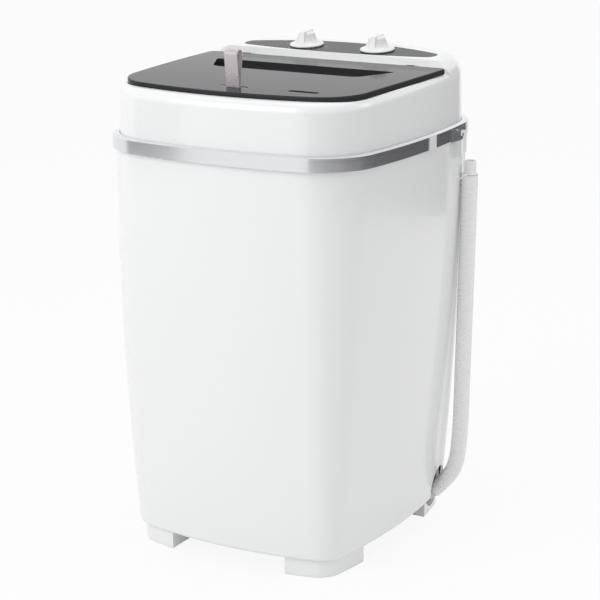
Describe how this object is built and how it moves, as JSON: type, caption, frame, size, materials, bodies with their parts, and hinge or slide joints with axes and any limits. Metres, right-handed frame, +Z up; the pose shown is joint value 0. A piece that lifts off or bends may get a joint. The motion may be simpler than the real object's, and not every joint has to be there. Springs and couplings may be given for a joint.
{
  "type": "top load washing machine",
  "caption": "Portable top load washer: white bowed casing, silver trim band, dark lid with pull tab, control dials, inner tub, pulsator drive and corrugated drain hose.",
  "frame": {"origin": "on the floor, under the middle of the casing", "axes": "+X to the machine's right hand side as it is faced, +Z up, front towards -Y"},
  "size_m": [0.3925, 0.4218, 0.665],
  "materials": {
    "casing_white": "smooth gloss",
    "knob_white": "smooth gloss",
    "inner_white": "fine satin",
    "panel_black": "mirror gloss",
    "band_silver": "satin, brushed along its length",
    "clip_silver": "polished",
    "tab_tint": "tinted, slightly clear",
    "hose_white": "soft satin",
    "bracket_grey": "ribbed satin",
    "bare_steel": "bright",
    "cover_grey": "satin",
    "motor_black": "satin",
    "cast_alloy": "as cast",
    "belt_black": "matt",
    "mesh_blue": "fine net",
    "control_grey": "satin"
  },
  "bodies": {
    "machine": {"outer_casing": "casing_white", "top_cover": "casing_white", "mouth_collar": "casing_white", "foot_front_left": "casing_white", "foot_front_right": "casing_white", "foot_rear_left": "casing_white", "foot_rear_right": "casing_white", "wash_tub": "inner_white", "filter_housing": "inner_white", "base_frame": "inner_white", "drain_pipe": "inner_white", "drain_spigot": "inner_white", "water_inlet": "inner_white", "bearing_housing": "inner_white", "console_panel": "panel_black", "trim_band": "band_silver", "band_clip": "clip_silver", "drain_hose": "hose_white", "hose_cuff": "hose_white", "hose_strap": "hose_white", "hose_hook": "hose_white", "hose_bracket": "bracket_grey", "rear_cover_screws": "bare_steel", "lid_hinge_brackets": "bare_steel", "drive_bearings": "bare_steel", "hose_clamp": "bare_steel", "capacitor_clip": "bare_steel", "rear_access_cover": "cover_grey", "motor_housing": "motor_black", "motor_bracket": "motor_black", "drive_belt": "belt_black", "shaft_seal": "belt_black", "cord_gland": "belt_black", "foot_pads": "belt_black", "wash_timer": "control_grey", "selector_switch": "control_grey", "motor_capacitor": "control_grey"},
    "lid": {"lid_panel": "panel_black", "lid_hinge_pins": "bare_steel", "tab_pin": "bare_steel"},
    "tab": {"pull_tab": "tab_tint"},
    "timer_dial": {"timer_knob": "knob_white", "timer_spindle": "bare_steel"},
    "selector_dial": {"selector_knob": "knob_white", "selector_spindle": "bare_steel"},
    "filter_cassette": {"lint_filter": "inner_white", "lint_filter_mesh": "mesh_blue"},
    "drive": {"pulsator": "inner_white", "pulsator_screw": "bare_steel", "drive_shaft": "bare_steel", "driven_pulley": "cast_alloy", "pulley_nut": "bare_steel"},
    "motor_rotor": {"motor_shaft": "bare_steel", "motor_pulley": "cast_alloy"}
  },
  "joints": [
    {"name": "lid_hinge", "type": "hinge", "parent": "machine", "child": "lid", "pos_m": [0, 0.088, 0.6215], "axis": [-1, 0, 0], "range_deg": [0, 100]},
    {"name": "tab_tilt", "type": "hinge", "parent": "lid", "child": "tab", "pos_m": [0, -0.15, 0.6176], "axis": [1, 0, 0], "range_deg": [-35, 35], "stiffness_Nm_per_rad": 0.02},
    {"name": "timer_turn", "type": "hinge", "parent": "machine", "child": "timer_dial", "pos_m": [-0.054, 0.129, 0.63511], "axis": [0, 0.0872, -0.9962], "range_deg": [0, 300]},
    {"name": "selector_turn", "type": "hinge", "parent": "machine", "child": "selector_dial", "pos_m": [0.054, 0.129, 0.63511], "axis": [0, 0.0872, -0.9962], "range_deg": [-45, 45]},
    {"name": "filter_lift", "type": "slide", "parent": "machine", "child": "filter_cassette", "axis": [0, 0, 1], "range_m": [0, 0.1]},
    {"name": "pulsator_spin", "type": "hinge", "parent": "machine", "child": "drive", "pos_m": [0, -0.044, 0.201], "axis": [0, 0, 1], "continuous": true},
    {"name": "motor_spin", "type": "hinge", "parent": "machine", "child": "motor_rotor", "pos_m": [0.025, 0.118, 0.097], "axis": [0, 0, 1], "continuous": true}
  ],
  "couplings": [
    {"joint": "motor_spin", "follows": "pulsator_spin", "ratio": 4}
  ]
}
